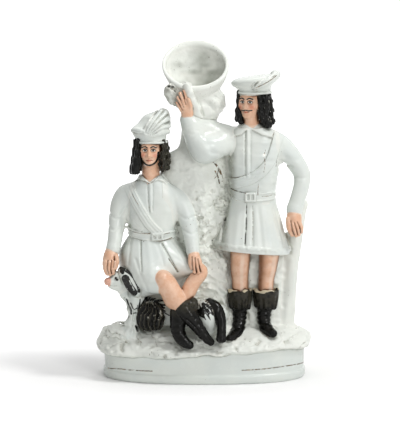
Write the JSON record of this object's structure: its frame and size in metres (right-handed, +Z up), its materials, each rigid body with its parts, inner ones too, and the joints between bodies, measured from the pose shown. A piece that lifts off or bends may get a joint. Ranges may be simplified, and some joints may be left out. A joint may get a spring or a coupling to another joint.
{
  "type": "spill vase",
  "caption": "Glazed earthenware flatback spill vase: two huntsmen and a hound beside a hollow tree whose open top holds spills, on a rock mound and oval plinth.",
  "frame": {"origin": "on the ground under the middle of the plinth", "axes": "+Z up along the tree, +Y towards the flat back, +X to the right of someone facing the figures"},
  "size_m": [0.24, 0.114, 0.3746],
  "materials": {
    "white_glaze": "gloss",
    "cream_glaze": "gloss",
    "flesh_enamel": "satin",
    "black_enamel": "gloss"
  },
  "bodies": {
    "root": {"plinth": "white_glaze", "base_slab": "white_glaze", "mound": "cream_glaze", "trunk": "cream_glaze", "spill_cup": "cream_glaze", "branch_stub": "cream_glaze", "trunk_knot": "cream_glaze", "rock_backing": "cream_glaze", "side_post": "cream_glaze", "rock_seat": "cream_glaze", "standing_skirt": "white_glaze", "standing_tunic": "white_glaze", "standing_head": "flesh_enamel", "standing_hair": "black_enamel", "standing_cap": "white_glaze", "standing_raised_arm": "white_glaze", "standing_raised_hand": "flesh_enamel", "standing_lowered_arm": "white_glaze", "standing_lowered_hand": "flesh_enamel", "standing_inner_leg": "flesh_enamel", "standing_outer_leg": "flesh_enamel", "standing_inner_boot": "black_enamel", "standing_outer_boot": "black_enamel", "seated_skirt": "white_glaze", "seated_tunic": "white_glaze", "seated_head": "flesh_enamel", "seated_hair": "black_enamel", "seated_cap": "white_glaze", "seated_outer_arm": "white_glaze", "seated_outer_hand": "flesh_enamel", "seated_inner_arm": "white_glaze", "seated_inner_hand": "flesh_enamel", "seated_front_leg": "flesh_enamel", "seated_rear_leg": "flesh_enamel", "seated_front_boot": "black_enamel", "seated_rear_boot": "black_enamel", "hound_body": "white_glaze", "hound_head": "white_glaze", "hound_ear": "black_enamel", "hound_flank_fur": "black_enamel", "hound_hind_leg": "black_enamel"}
  },
  "joints": []
}
